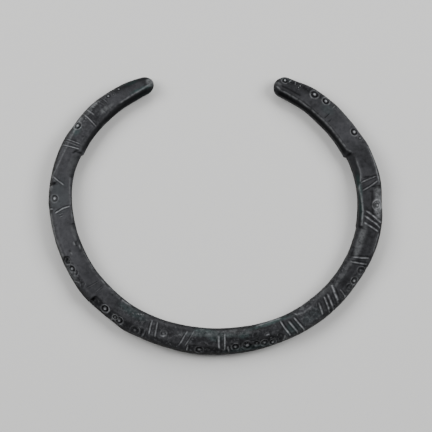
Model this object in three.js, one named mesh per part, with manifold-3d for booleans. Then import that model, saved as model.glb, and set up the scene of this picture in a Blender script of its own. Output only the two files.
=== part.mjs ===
// An armilla: a penannular bronze arm ring, one cast bar bent to an open oval.
// It lies on its flat side. The two ends of the bar point to the back, +Y, and z = 0 is its underside.
// The front face, which looks up, is bevelled, grooved and punched with ring-and-dot marks.
// Millimetres and degrees. An angle round the ring runs anticlockwise from +X, seen from above.
import * as THREE from 'three';
import { mergeVertices } from 'three/addons/utils/BufferGeometryUtils.js';
import Module from 'manifold-3d';

const wasm = await Module();
wasm.setup();

// Bow: the middle line of the bar, an oval that is wider than deep and a little egg-shaped
const BOW_RADIUS = 30.74;
const OVAL_REACH = 2.26;
const OVAL_TURN = -2.2;
const EGG_REACH = 0.25;
const EGG_TURN = 24.2;
const LEFT_END = 116.9;
const RIGHT_END = 424.4;

// Bar: its section lies across the middle line
const BAR_WIDTH = 6.0;
const BAR_HEIGHT = 5.0;
const END_HEIGHT = 3.9;
const HEIGHT_TAPER_LENGTH = 24;
const END_ROUNDING = 1.9;
const END_BLUNTNESS = 0.4;

// Sides of the bar along the bow, in from the middle line and out from it: [angle, share of half the
// bar's width]. Two stations close together are a step, where the inner edge was cut back.
const INNER_SIDE = [
  [116, 0.63],
  [130, 0.78],
  [141, 0.84],
  [158.6, 0.85],
  [159.6, 0.73],
  [167, 0.69],
  [190, 0.83],
  [200, 0.87],
  [217, 0.87],
  [230, 0.83],
  [266, 0.92],
  [278, 0.91],
  [306, 0.8],
  [351.5, 0.77],
  [352.5, 0.82],
  [380.9, 0.79],
  [381.9, 0.95],
  [397, 0.93],
  [412, 0.77],
  [425, 0.65],
];
const OUTER_SIDE = [
  [116, 0.57],
  [130, 0.77],
  [143, 0.88],
  [151, 0.85],
  [156, 0.91],
  [179, 0.92],
  [185, 0.85],
  [198, 0.85],
  [201, 0.9],
  [214, 0.99],
  [222, 0.93],
  [227, 0.94],
  [233, 1.03],
  [238, 0.97],
  [251, 0.97],
  [261, 1.03],
  [284, 0.97],
  [299, 0.92],
  [318, 0.93],
  [330, 0.89],
  [350, 1.02],
  [356, 1.02],
  [361, 0.95],
  [370, 1.04],
  [381, 1.02],
  [388, 0.93],
  [393, 0.92],
  [400, 0.97],
  [409, 0.98],
  [419, 0.82],
  [425, 0.72],
];

// Edges of the section: how far each bevel comes in from the side, and how far it drops
const OUTER_WALL_LEAN = 0.45;
const OUTER_BEVEL_WIDTH = 1.0;
const OUTER_BEVEL_DROP = 0.8;
const FILED_BEVEL_WIDTH = 1.75;
const FILED_BEVEL_DROP = 1.25;
const INNER_BEVEL_WIDTH = 0.8;
const INNER_BEVEL_DROP = 1.1;
const HOLLOW_BEVEL_WIDTH = 1.5;
const HOLLOW_BEVEL_DROP = 1.5;
const STEP_LENGTH = 0.5;

// Where the outer edge was filed flat before it was punched, and where the inner edge is cut back
const FILED_ZONES = [
  [127.5, 153.6],
  [172.6, 181.5],
  [199, 210.7],
  [216.6, 240],
  [258.7, 270.2],
  [275.2, 297.6],
  [326.4, 337.4],
  [355.2, 366.9],
  [383.2, 389.4],
  [400, 423.2],
];
const HOLLOW_ZONES = [
  [159.1, 169],
  [328, 350],
  [352, 381.4],
];

// Ring-and-dot punches
const PUNCH_RADIUS = 0.74;
const SMALL_PUNCH_RADIUS = 0.5;
const PUNCH_GROOVE_WIDTH = 0.56;
const PUNCH_DEPTH = 0.34;
const PUNCH_SIDES = 12;
const PUNCH_DOT_RADIUS = 0.1;

// Each punch: [angle, place across the bar from -1 at the inner edge to 1 at the outer edge]
const PUNCHES = [
  [150.7, 0.7],
  [177.9, 0.58],
  [203.5, 0.64],
  [205.2, 0.54],
  [222.5, 0.61],
  [227.4, 0.65],
  [229.4, 0.65],
  [236.2, 0.65],
  [263.1, 0.68],
  [277.8, 0.52],
  [282.7, 0.52],
  [289.7, 0.61],
  [332.2, 0.6],
  [336.5, 0.57],
  [358.4, 0.54],
  [360.6, 0.53],
  [388.1, 0.57],
  [403.3, 0.65],
  [408.2, 0.55],
  [414.7, 0.6],
];
const SMALL_PUNCHES = [
  [130.6, 0.68],
  [135.3, 0.68],
  [247.4, 0.1],
  [293, 0.72],
  [385.1, 0.66],
  [421, 0.64],
];

// Incised grooves
const GROOVE_WIDTH = 0.52;
const GROOVE_DEPTH = 0.32;
const RAISE = 0.5;
const PAST_EDGE = 1.1;

// Each group: first angle and step at the inner end, how far the outer end is turned on from the
// inner one, and the places across the bar where the grooves start and stop
const GROOVE_GROUPS = [
  { first: 146.7, step: 1, count: 1, turn: -0.6, inner: -0.6, outer: PAST_EDGE },
  { first: 155.8, step: 0.95, count: 3, turn: 1.1, inner: -0.45, outer: PAST_EDGE },
  { first: 172.7, step: 1, count: 1, turn: -2.5, inner: -0.1, outer: PAST_EDGE },
  { first: 180.6, step: 1.9, count: 2, turn: 2.3, inner: -0.75, outer: 0.55 },
  { first: 213.2, step: 2.4, count: 2, turn: -0.9, inner: -0.5, outer: 0.4 },
  { first: 240.9, step: 2.5, count: 2, turn: 1.1, inner: -0.6, outer: 0.58 },
  { first: 257.1, step: 2.9, count: 2, turn: -2.7, inner: -0.6, outer: 0.62 },
  { first: 270.9, step: 2.6, count: 2, turn: 0, inner: -0.5, outer: 0.65 },
  { first: 298.6, step: 3, count: 3, turn: 1.8, inner: -0.65, outer: PAST_EDGE },
  { first: 316.4, step: 2.8, count: 4, turn: -2.5, inner: -0.4, outer: PAST_EDGE },
  { first: 337.4, step: 2.1, count: 2, turn: 2.2, inner: -0.5, outer: PAST_EDGE },
  { first: 353.8, step: 2.2, count: 3, turn: -3.4, inner: -0.4, outer: PAST_EDGE },
  { first: 366.3, step: 1.6, count: 3, turn: 2.2, inner: -0.55, outer: PAST_EDGE },
  { first: 399.6, step: 1, count: 1, turn: -0.3, inner: -0.5, outer: 0.15 },
];

// How finely the bar is faceted along the bow, in degrees
const STATION_STEP = 3.4;
const STATION_CLEARANCE = 1.1;
const END_STATIONS = 5;
const SMALL_TURN = 0.05;

const BRONZE = new THREE.MeshStandardMaterial({
  color: 0x3e3c3e,
  roughness: 0.5,
  metalness: 0.85,
  flatShading: true,
});

const radians = THREE.MathUtils.degToRad;

function bowRadius(angle) {
  const oval = OVAL_REACH * Math.cos(2 * radians(angle - OVAL_TURN));
  const egg = EGG_REACH * Math.cos(3 * radians(angle - EGG_TURN));
  return BOW_RADIUS + oval + egg;
}

// Point of the middle line, with its outward direction
function bowAt(angle) {
  const point = (a) => new THREE.Vector2(Math.cos(radians(a)), Math.sin(radians(a)))
    .multiplyScalar(bowRadius(a));
  const along = point(angle + SMALL_TURN).sub(point(angle - SMALL_TURN)).normalize();
  return { middle: point(angle), out: new THREE.Vector2(along.y, -along.x) };
}

function shareAt(stations, angle) {
  const next = Math.max(1, stations.findIndex(([station]) => station > angle));
  const [fromAngle, fromShare] = stations[next - 1];
  const [toAngle, toShare] = stations[next];
  const way = THREE.MathUtils.smoothstep(angle, fromAngle, toAngle);
  return fromShare + (toShare - fromShare) * way;
}

// Distance along the bar to its nearer end
function distanceToEnd(angle) {
  return radians(Math.min(angle - LEFT_END, RIGHT_END - angle)) * bowRadius(angle);
}

function endShare(angle) {
  const gap = Math.min(1, Math.max(0, 1 - distanceToEnd(angle) / END_ROUNDING));
  return Math.max(END_BLUNTNESS, Math.sqrt(1 - gap * gap));
}

function innerSide(angle) {
  return BAR_WIDTH / 2 * shareAt(INNER_SIDE, angle) * endShare(angle);
}

function outerSide(angle) {
  return BAR_WIDTH / 2 * shareAt(OUTER_SIDE, angle) * endShare(angle);
}

// Distance out from the middle line of a place across the bar, from -1 at the inner edge to 1
function acrossAt(angle, share) {
  return share * (share < 0 ? innerSide(angle) : outerSide(angle));
}

function barHeight(angle) {
  const way = THREE.MathUtils.smoothstep(distanceToEnd(angle), 0, HEIGHT_TAPER_LENGTH);
  return (END_HEIGHT + (BAR_HEIGHT - END_HEIGHT) * way) * endShare(angle);
}

// 1 inside any of the zones, 0 outside, with a short step at each end
function zoneShare(zones, angle) {
  const step = THREE.MathUtils.radToDeg(STEP_LENGTH / BOW_RADIUS);
  const inside = zones.map(([from, to]) => Math.min(angle - from, to - angle) / step + 0.5);
  return Math.min(1, Math.max(0, ...inside));
}

function bevels(angle) {
  const filed = zoneShare(FILED_ZONES, angle);
  const hollow = zoneShare(HOLLOW_ZONES, angle);
  const blend = THREE.MathUtils.lerp;
  const ease = (innerSide(angle) + outerSide(angle)) / BAR_WIDTH;
  return {
    outerWidth: ease * blend(OUTER_BEVEL_WIDTH, FILED_BEVEL_WIDTH, filed),
    outerDrop: ease * blend(OUTER_BEVEL_DROP, FILED_BEVEL_DROP, filed),
    innerWidth: ease * blend(INNER_BEVEL_WIDTH, HOLLOW_BEVEL_WIDTH, hollow),
    innerDrop: ease * blend(INNER_BEVEL_DROP, HOLLOW_BEVEL_DROP, hollow),
    wall: ease * OUTER_WALL_LEAN,
    plainOuterWidth: ease * OUTER_BEVEL_WIDTH,
    plainOuterDrop: ease * OUTER_BEVEL_DROP,
    plainInner: ease * INNER_BEVEL_WIDTH,
    plainInnerDrop: ease * INNER_BEVEL_DROP,
  };
}

// Upper half of the section from the inner edge to the outer one: [across, height over mid-height]
function frontProfile(angle) {
  const inner = innerSide(angle);
  const outer = outerSide(angle);
  const top = barHeight(angle) / 2;
  const edge = bevels(angle);
  return [
    [-inner, top - edge.innerDrop],
    [-inner + edge.innerWidth, top],
    [outer - edge.wall - edge.outerWidth, top],
    [outer - edge.wall, top - edge.outerDrop],
    [outer, 0],
  ];
}

// The underside is plain: the same flat, with narrow bevels all the way round
function backProfile(angle) {
  const inner = innerSide(angle);
  const outer = outerSide(angle);
  const top = barHeight(angle) / 2;
  const edge = bevels(angle);
  return [
    [outer - edge.wall, -top + edge.plainOuterDrop],
    [outer - edge.wall - edge.plainOuterWidth, -top],
    [-inner + edge.plainInner, -top],
    [-inner, -top + edge.plainInnerDrop],
  ];
}

function place(angle, across, up) {
  const { middle, out } = bowAt(angle);
  return new THREE.Vector3(
    middle.x + out.x * across,
    middle.y + out.y * across,
    BAR_HEIGHT / 2 + up,
  );
}

// Height of the front face over mid-height, at a distance out from the middle line
function frontHeight(angle, across) {
  const profile = frontProfile(angle);
  const next = profile.findIndex(([side]) => side >= across);
  if (next === 0) {
    return profile[0][1];
  }
  if (next < 0) {
    return profile.at(-1)[1];
  }
  const [fromSide, fromUp] = profile[next - 1];
  const [toSide, toUp] = profile[next];
  return fromUp + (toUp - fromUp) * (across - fromSide) / (toSide - fromSide);
}

// A closed skin over sections that all have the same number of points
function loft(sections) {
  const size = sections[0].length;
  const last = (sections.length - 1) * size;
  const positions = sections.flat().flatMap((point) => point.toArray());
  const faces = [];
  for (let ring = 0; ring < sections.length - 1; ring += 1) {
    for (let side = 0; side < size; side += 1) {
      const a = ring * size + side;
      const b = ring * size + (side + 1) % size;
      faces.push(a, b, b + size, a, b + size, a + size);
    }
  }
  for (let side = 1; side < size - 1; side += 1) {
    faces.push(0, side + 1, side, last, last + side, last + side + 1);
  }
  const geometry = new THREE.BufferGeometry();
  geometry.setAttribute('position', new THREE.Float32BufferAttribute(positions, 3));
  geometry.setIndex(faces);
  return geometry;
}

function toSolid(geometry) {
  const bare = geometry.clone();
  bare.deleteAttribute('normal');
  bare.deleteAttribute('uv');
  const merged = mergeVertices(bare, 1e-4);
  return new wasm.Manifold(new wasm.Mesh({
    numProp: 3,
    vertProperties: Float32Array.from(merged.attributes.position.array),
    triVerts: Uint32Array.from(merged.index.array),
  }));
}

function toGeometry(solid) {
  const { vertProperties, triVerts } = solid.getMesh();
  const geometry = new THREE.BufferGeometry();
  geometry.setAttribute('position', new THREE.BufferAttribute(vertProperties, 3));
  geometry.setIndex(new THREE.BufferAttribute(triVerts, 1));
  geometry.computeVertexNormals();
  return geometry;
}

// Angles of the bar's sections: even steps, a pair at each step of a zone, and more at the ends
function stations() {
  const even = Math.round((RIGHT_END - LEFT_END) / STATION_STEP);
  const step = THREE.MathUtils.radToDeg(STEP_LENGTH / BOW_RADIUS);
  const rounding = THREE.MathUtils.radToDeg(END_ROUNDING / BOW_RADIUS);
  const edges = [...FILED_ZONES, ...HOLLOW_ZONES].flat();
  const marks = edges.flatMap((edge) => [edge - step / 2, edge + step / 2]);
  const angles = [...marks];
  for (let i = 0; i <= even; i += 1) {
    const angle = THREE.MathUtils.lerp(LEFT_END + rounding, RIGHT_END - rounding, i / even);
    const crowded = marks.some((mark) => Math.abs(mark - angle) < STATION_CLEARANCE);
    if (!crowded) {
      angles.push(angle);
    }
  }
  for (let i = 0; i < END_STATIONS; i += 1) {
    const share = 1 - Math.cos(Math.PI / 2 * i / END_STATIONS);
    angles.push(LEFT_END + rounding * share, RIGHT_END - rounding * share);
  }
  return angles.sort((a, b) => a - b);
}

function barSolid() {
  const sections = stations().map((angle) => [...frontProfile(angle), ...backProfile(angle)]
    .map(([across, up]) => place(angle, across, up)));
  return toSolid(loft(sections));
}

// A V-shaped cutter that follows the front face from one place on it to another
function grooveSolid(fromAngle, fromAcross, toAngle, toAcross) {
  const profile = frontProfile((fromAngle + toAngle) / 2);
  const start = acrossAt(fromAngle, fromAcross);
  const stop = acrossAt(toAngle, toAcross);
  const bends = profile.map(([side]) => side).filter((side) => side > start && side < stop);
  const spread = GROOVE_WIDTH / 2 * (GROOVE_DEPTH + RAISE) / GROOVE_DEPTH;
  const sections = [start, ...bends, stop].map((across) => {
    const angle = THREE.MathUtils.mapLinear(across, start, stop, fromAngle, toAngle);
    const turn = THREE.MathUtils.radToDeg(spread / bowRadius(angle));
    const up = frontHeight(angle, across);
    return [
      place(angle, across, up - GROOVE_DEPTH),
      place(angle + turn, across, up + RAISE),
      place(angle - turn, across, up + RAISE),
    ];
  });
  return toSolid(loft(sections));
}

// A ring-shaped cutter whose axis stands square on the face that it is punched into
function punchSolid(angle, share, radius) {
  const across = acrossAt(angle, share);
  const up = frontHeight(angle, across);
  const inward = frontHeight(angle, across - radius / 2);
  const outward = frontHeight(angle, across + radius / 2);
  const slope = (outward - inward) / radius;
  const spread = PUNCH_GROOVE_WIDTH / 2 * (PUNCH_DEPTH + RAISE) / PUNCH_DEPTH;
  const wall = Math.min(spread, radius - PUNCH_DOT_RADIUS);
  const profile = [
    new THREE.Vector2(radius, -PUNCH_DEPTH),
    new THREE.Vector2(radius + spread, RAISE),
    new THREE.Vector2(radius - wall, RAISE),
    new THREE.Vector2(radius, -PUNCH_DEPTH),
  ];
  const ring = new THREE.LatheGeometry(profile, PUNCH_SIDES);
  const { out } = bowAt(angle);
  const axis = new THREE.Vector3(-slope * out.x, -slope * out.y, 1).normalize();
  ring.applyQuaternion(new THREE.Quaternion().setFromUnitVectors(new THREE.Vector3(0, 1, 0), axis));
  ring.translate(...place(angle, across, up).toArray());
  return toSolid(ring);
}

function cutters() {
  const grooves = GROOVE_GROUPS.flatMap((group) => Array.from({ length: group.count }, (_, i) => {
    const angle = group.first + group.step * i;
    return grooveSolid(angle, group.inner, angle + group.turn, group.outer);
  }));
  const punches = PUNCHES.map(([angle, across]) => punchSolid(angle, across, PUNCH_RADIUS));
  const small = SMALL_PUNCHES.map(([angle, across]) => punchSolid(angle, across, SMALL_PUNCH_RADIUS));
  return [...grooves, ...punches, ...small];
}

// The origin is under the middle of the ring's outline, on the surface that it lies on
function bracelet() {
  const solid = cutters().reduce((bar, cutter) => bar.subtract(cutter), barSolid());
  const geometry = toGeometry(solid);
  geometry.computeBoundingBox();
  const centre = geometry.boundingBox.getCenter(new THREE.Vector3());
  geometry.translate(-centre.x, -centre.y, 0);
  const mesh = new THREE.Mesh(geometry, BRONZE);
  mesh.name = 'bracelet';
  return mesh;
}

const armilla = new THREE.Group();
armilla.add(bracelet());

export default armilla;
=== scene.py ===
import math

import bpy
import numpy as np
from mathutils import Matrix, Vector, noise


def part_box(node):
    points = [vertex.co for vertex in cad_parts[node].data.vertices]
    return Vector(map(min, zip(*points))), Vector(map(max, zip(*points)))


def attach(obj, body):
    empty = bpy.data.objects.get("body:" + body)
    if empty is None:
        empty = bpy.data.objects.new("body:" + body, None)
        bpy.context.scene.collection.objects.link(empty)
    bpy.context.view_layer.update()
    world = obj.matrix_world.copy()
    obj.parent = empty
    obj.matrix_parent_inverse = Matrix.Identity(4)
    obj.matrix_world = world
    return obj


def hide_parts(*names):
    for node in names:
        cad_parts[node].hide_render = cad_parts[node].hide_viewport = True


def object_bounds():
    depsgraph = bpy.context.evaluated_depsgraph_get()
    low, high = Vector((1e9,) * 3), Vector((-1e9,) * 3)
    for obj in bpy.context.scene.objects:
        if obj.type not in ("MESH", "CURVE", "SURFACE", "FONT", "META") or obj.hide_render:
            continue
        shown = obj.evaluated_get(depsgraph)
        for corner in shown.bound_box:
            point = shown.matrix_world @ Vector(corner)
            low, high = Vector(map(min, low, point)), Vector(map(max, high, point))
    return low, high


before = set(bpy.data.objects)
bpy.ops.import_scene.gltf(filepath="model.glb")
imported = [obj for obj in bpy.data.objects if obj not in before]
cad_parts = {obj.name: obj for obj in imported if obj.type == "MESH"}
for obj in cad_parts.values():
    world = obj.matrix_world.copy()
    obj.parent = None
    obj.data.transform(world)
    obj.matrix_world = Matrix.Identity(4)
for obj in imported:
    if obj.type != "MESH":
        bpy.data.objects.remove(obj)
cad_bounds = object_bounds()

# A penannular bronze arm ring, lying flat. Places on it are given in millimetres and degrees: an
# angle round the bow, anticlockwise from +X, and a distance out from the bar's middle line.
MM = 0.001

# Bow of the bar, as the solid has it
BOW_RADIUS = 30.74
OVAL_REACH = 2.26
OVAL_TURN = -2.2
EGG_REACH = 0.25
EGG_TURN = 24.2
LEFT_END = 116.9
RIGHT_END = 424.4
BAR_WIDTH = 6.0
BAR_HEIGHT = 5.0
END_HEIGHT = 3.9
HEIGHT_TAPER_LENGTH = 24.0
END_ROUNDING = 1.9
END_BLUNTNESS = 0.12

# Sides of the bar, in from the middle line and out from it: angle, share of half the bar's width
INNER_SIDE = [
    (116, 0.63), (130, 0.78), (141, 0.84), (158.6, 0.85), (159.6, 0.73), (167, 0.69), (190, 0.83),
    (200, 0.87), (217, 0.87), (230, 0.83), (266, 0.92), (278, 0.91), (306, 0.80), (351.5, 0.77),
    (352.5, 0.82), (380.9, 0.79), (381.9, 0.95), (397, 0.93), (412, 0.77), (425, 0.65),
]
OUTER_SIDE = [
    (116, 0.57), (130, 0.77), (143, 0.88), (151, 0.85), (156, 0.91), (179, 0.92), (185, 0.85),
    (198, 0.85), (201, 0.90), (214, 0.99), (222, 0.93), (227, 0.94), (233, 1.03), (238, 0.97),
    (251, 0.97), (261, 1.03), (284, 0.97), (299, 0.92), (318, 0.93), (330, 0.89), (350, 1.02),
    (356, 1.02), (361, 0.95), (370, 1.04), (381, 1.02), (388, 0.93), (393, 0.92), (400, 0.97),
    (409, 0.98), (419, 0.82), (425, 0.72),
]

# Bevels of the front: angle, width and drop. Two stations close together are a step.
OUTER_WALL_LEAN = 0.45
OUTER_BEVEL = [
    (116, 1.1, 0.8), (126.5, 1.3, 0.8), (127.6, 1.5, 0.8), (153.2, 1.5, 0.8), (154.0, 0.8, 0.5),
    (172.1, 0.8, 0.5), (172.9, 1.7, 0.7), (181.2, 1.7, 0.7), (182.1, 0.7, 0.5), (198.6, 0.7, 0.5),
    (199.4, 1.5, 1.2), (210.4, 1.5, 1.2), (211.3, 0.8, 0.7), (216.2, 0.8, 0.7), (217.0, 1.85, 1.4),
    (239.4, 1.85, 1.4), (240.6, 1.2, 0.9), (257.8, 1.2, 0.9), (258.8, 1.5, 1.3), (269.9, 1.5, 1.3),
    (270.8, 1.1, 0.9), (274.6, 1.1, 0.9), (275.4, 2.0, 1.5), (297.1, 2.0, 1.4), (298.4, 0.9, 0.8),
    (325.8, 0.9, 0.8), (326.8, 1.8, 1.1), (337.0, 1.8, 1.1), (337.9, 0.7, 0.5), (354.6, 0.7, 0.5),
    (355.4, 1.9, 1.0), (366.6, 1.9, 1.0), (367.4, 0.6, 0.5), (382.6, 0.6, 0.5), (383.6, 1.8, 0.7),
    (389.5, 1.7, 0.7), (390.5, 0.7, 0.5), (399.6, 0.8, 0.6), (400.4, 1.6, 0.9), (425, 1.5, 0.8),
]
INNER_BEVEL = [
    (116, 2.2, 1.4), (122, 2.05, 1.6), (125.5, 1.95, 1.7), (133.5, 1.7, 1.7), (140.6, 1.35, 1.5),
    (150.6, 1.2, 1.3), (158.6, 1.2, 1.2), (159.6, 2.3, 1.2), (168.8, 2.2, 1.2), (169.4, 0.95, 0.9),
    (172.6, 0.8, 0.9), (178.5, 0.5, 0.7), (187.4, 0.5, 0.7), (187.9, 1.5, 0.7), (194.4, 1.2, 0.7),
    (197, 0.7, 0.8), (230, 0.65, 0.9), (262, 0.7, 0.9), (300, 0.8, 0.9), (309, 1.2, 0.9),
    (322, 1.3, 0.9), (327, 1.6, 1.0), (341.4, 1.65, 1.0), (342.2, 2.5, 1.1), (351.0, 2.4, 1.1),
    (352.0, 0.9, 1.2), (358, 0.85, 1.3), (364, 0.5, 1.3), (367, 0.35, 1.3), (369, 0.55, 1.3),
    (371, 1.0, 1.5), (373, 1.35, 1.6), (381.0, 1.45, 1.6), (381.9, 1.5, 1.6), (383.5, 1.08, 1.7),
    (400, 1.15, 1.7), (406, 1.35, 1.7), (412, 1.6, 1.6), (421.7, 1.9, 1.5), (425, 2.0, 1.3),
]
PLAIN_OUTER = (1.0, 0.8)
PLAIN_INNER = (0.8, 1.1)

# Rounding of the section's corners, and the softer rounding that an arris is told apart by
CORNER_ROUNDING = 0.19
EDGE_SCALE = 0.55
EDGE_HEIGHT = 0.12

# Fineness of the mesh along the bow: length of its steps where there are marks and elsewhere
FINE_STEP = 0.105
PLAIN_STEP = 0.25
END_STEPS = 22
STEP_BLUR = 41
BOW_SAMPLES = 6001

# Half step in degrees that gives the bow's direction, and the least length to divide by
TANGENT_STEP = 0.05
LEAST_LENGTH = 1e-9

# Margins of the fine stretches: a punch's in shares of its radius, a groove's in millimetres, a
# pit's and a step's in degrees. Stations of a bevel that lie closer than STEP_MOST are a step.
FINE_PUNCH_MARGIN = 1.2
FINE_GROOVE_MARGIN = 0.2
FINE_PIT_MARGIN = 0.9
FINE_STEP_MARGIN = 0.3
STEP_MOST = 1.3

# Fineness of the mesh round the section
LOOP_SAMPLES = 420
COLUMN_SAMPLES = 400
FRONT_SIDES = 4
FRONT_COLUMNS = 47
BACK_COLUMNS = 40
FINE_BAND = (0.44, 0.92)
FINE_BAND_DENSITY = 1.75

# Ring-and-dot punches: angle, distance out, radius of the rim, wear of the boss and of the rim
PUNCHES = [
    (130.6, 1.60, 0.60, 0.6, 0.05), (133.3, 1.30, 0.45, 0.2, 0.15), (135.3, 1.65, 0.60, 0.7, 0.05),
    (150.7, 1.85, 0.95, 1.0, 1.10), (177.9, 1.60, 0.90, 0.9, 0.25), (200.6, 1.75, 0.80, 0.1, 0.50),
    (203.5, 1.70, 0.85, 0.9, 0.40), (205.2, 1.50, 0.80, 0.5, 0.30), (222.5, 1.70, 1.00, 1.0, 0.90),
    (227.3, 1.90, 0.65, 0.3, 1.10), (229.4, 1.95, 0.95, 1.0, 0.60), (236.3, 1.90, 1.10, 0.3, 0.30),
    (247.4, 0.30, 0.75, 0.3, 0.30), (253.9, -0.40, 0.60, 0.1, 0.20), (251.1, 2.00, 0.45, 0.7, 0.20),
    (263.1, 2.10, 1.00, 0.65, 0.35), (277.8, 1.50, 0.95, 0.75, 0.45),
    (282.7, 1.50, 1.15, 0.7, 0.35), (286.5, 1.40, 0.80, 0.3, 0.30), (289.7, 1.75, 0.90, 0.65, 0.45),
    (293.0, 2.10, 0.85, 1.0, 0.50), (329.0, 1.50, 0.90, 0.2, 0.30), (332.1, 1.60, 0.95, 0.9, 0.50),
    (336.5, 1.60, 0.95, 0.2, 0.35), (358.2, 1.60, 0.75, 0.2, 0.25), (360.6, 1.50, 1.20, 0.0, 0.80),
    (360.6, 1.50, 0.75, 0.9, 0.90), (385.1, 1.90, 0.60, 0.45, 0.30), (388.1, 1.60, 0.95, 0.9, 0.35),
    (403.3, 1.90, 0.95, 1.0, 0.50), (408.2, 1.60, 1.05, 1.0, 0.45), (414.7, 1.70, 0.50, 1.0, 0.20),
    (415.0, 1.20, 0.50, 0.9, 0.20), (421.0, 1.50, 0.80, 1.0, 0.40),
]

# Form of a punch, in shares of its radius
PUNCH_DOT = 0.27
PUNCH_MOAT = 0.60
PUNCH_MOAT_WIDTH = 0.20
PUNCH_RIM = 0.96
PUNCH_RIM_WIDTH = 0.13
PUNCH_REACH = 1.6

# Depth of a punch with a radius of 1 mm, and how far above or below its middle a punch still marks
# the bar, which keeps one near an edge off the wall
PUNCH_DEPTH = 0.24
PUNCH_SLOPE = 1.2

# Wear and painted shade of a punch: how unevenly the wear on its rim lies, and the shade painted in its
# moat
PUNCH_UNEVENNESS = 0.8
PUNCH_LEAST_SHADE = 0.25
PUNCH_MORE_SHADE = 0.85

# Incised grooves: points as angle and distance out, then width and wear. A groove with no wear has its
# floor painted dark as shadow, and such lines also paint shadows at some of the bevels' steps.
GROOVES = [
    ([(137.0, 0.4), (137.6, 2.3)], 0.30, 0.15), ([(138.6, 0.6), (139.2, 2.3)], 0.30, 0.10),
    ([(140.2, 1.6), (140.5, 2.5)], 0.30, 0.50), ([(141.8, 1.5), (142.4, 2.5)], 0.30, 0.60),
    ([(143.9, 0.5), (144.2, 2.6)], 0.35, 0.60),
    ([(146.7, -1.6), (146.3, 0.5), (146.1, 2.6)], 0.30, 0.80),
    ([(155.9, -1.0), (156.7, 2.4)], 0.25, 0.55), ([(156.9, -0.8), (157.6, 2.5)], 0.25, 0.35),
    ([(157.8, -1.2), (159.0, 2.5)], 0.30, 0.90),
    ([(158.3, -1.3), (158.8, -0.8), (160.6, -0.2)], 0.40, 0.0),
    ([(170.2, 2.5), (171.2, 1.4), (172.7, -0.2)], 0.30, 0.80),
    ([(172.4, 1.5), (173.4, 2.7)], 0.60, 0.0),
    ([(180.6, -1.8), (181.4, -0.2), (182.9, 1.5)], 0.35, 1.0),
    ([(181.3, 1.8), (181.4, 2.7)], 0.35, 1.0), ([(184.0, -0.3), (184.5, 0.6)], 0.20, 0.40),
    ([(183.2, -0.2), (183.6, 0.7)], 0.20, 0.30), ([(187.5, 1.7), (187.8, 2.5)], 0.25, 0.30),
    ([(199.4, 1.4), (199.3, 2.6)], 0.70, 0.0),
    ([(202.2, 1.1), (201.5, 1.9), (201.2, 2.5)], 0.30, 0.60),
    ([(209.1, 1.8), (207.6, 2.7)], 0.35, 0.70), ([(212.3, 1.5), (213.2, -1.4)], 0.22, 0.10),
    ([(215.5, 0.6), (215.7, -1.3)], 0.22, 0.10), ([(217.1, 1.4), (217.2, 2.9)], 0.80, 0.0),
    ([(231.8, -0.8), (232.9, -1.1)], 0.25, 0.50), ([(233.5, -1.2), (236.9, -1.9)], 0.25, 0.80),
    ([(239.8, 0.8), (239.8, 2.8)], 0.50, 0.45),
    ([(240.9, -1.6), (241.2, -0.3), (241.9, 1.6)], 0.40, 0.70),
    ([(243.3, -1.7), (244.0, 0.2), (244.5, 1.7)], 0.40, 0.52),
    ([(254.5, 2.0), (255.3, 0.9), (256.1, -0.4), (257.1, -1.5)], 0.35, 0.58),
    ([(256.9, 1.8), (258.2, 0.3), (260.0, -1.9)], 0.30, 0.40),
    ([(258.3, 1.4), (258.3, 2.7)], 0.45, 1.0),
    ([(270.8, -1.2), (270.8, 0.3), (271.0, 1.7)], 0.50, 0.80),
    ([(273.5, -1.7), (273.4, 0.2), (273.2, 2.1)], 0.40, 0.85),
    ([(274.5, 1.2), (275.4, 2.5)], 0.50, 1.3), ([(290.5, 0.25), (292.5, 0.2)], 0.25, 0.80),
    ([(297.1, 2.7), (298.2, 1.5)], 0.40, 0.70),
    ([(298.5, -1.9), (299.1, -0.2), (300.3, 2.2)], 0.45, 1.0),
    ([(301.8, -1.0), (302.5, 0.4), (303.5, 2.4)], 0.50, 0.80),
    ([(304.5, -1.1), (305.2, 0.5), (306.2, 2.7)], 0.45, 0.95),
    ([(305.4, -2.0), (306.4, -1.2)], 0.45, 0.62),
    ([(314.8, 1.9), (315.7, 0.4), (316.5, -0.8)], 0.45, 0.75),
    ([(317.4, 2.5), (318.5, 0.8), (319.8, -1.1)], 0.45, 0.80),
    ([(319.2, 2.7), (320.3, 0.8), (321.5, -1.0)], 0.50, 0.80),
    ([(322.0, 2.3), (323.4, 0.5), (325.4, -1.8)], 0.60, 0.90),
    ([(325.6, 2.5), (326.2, 0.3)], 0.35, 0.60),
    ([(337.4, -1.4), (338.4, 0.3), (339.4, 2.2)], 0.45, 0.65),
    ([(339.5, -1.4), (340.5, 0.3), (341.7, 2.0)], 0.45, 0.72),
    ([(338.3, 1.5), (338.3, 2.7)], 0.90, 0.0),
    ([(351.3, 2.4), (352.4, 0.8), (353.8, -1.1)], 0.45, 0.95),
    ([(352.7, 2.6), (353.9, 1.5), (356.4, -1.2)], 0.45, 1.05),
    ([(354.7, 2.7), (356.5, 0.8), (358.4, -0.9)], 0.45, 1.1),
    ([(366.3, -1.5), (367.6, 0.3), (369.0, 2.0)], 0.35, 0.55),
    ([(369.5, -1.7), (370.3, 0.2), (370.7, 2.0)], 0.35, 0.52),
    ([(367.2, 0.0), (367.2, 2.7)], 0.30, 0.0), ([(371.2, -0.9), (371.0, 0.5)], 0.30, 0.0),
    ([(397.3, -0.5), (397.4, -1.5)], 0.25, 0.0), ([(399.3, 0.3), (399.6, -1.5)], 0.25, 0.0),
    ([(399.9, 1.4), (399.7, 2.5)], 0.35, 0.50),
    ([(421.7, 0.0), (418.2, -0.1), (412.7, -0.3)], 0.35, 0.0),
    ([(416.5, 1.3), (417.0, 2.3)], 0.25, 0.60), ([(418.5, 2.2), (419.4, 1.3)], 0.30, 0.80),
]

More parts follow.
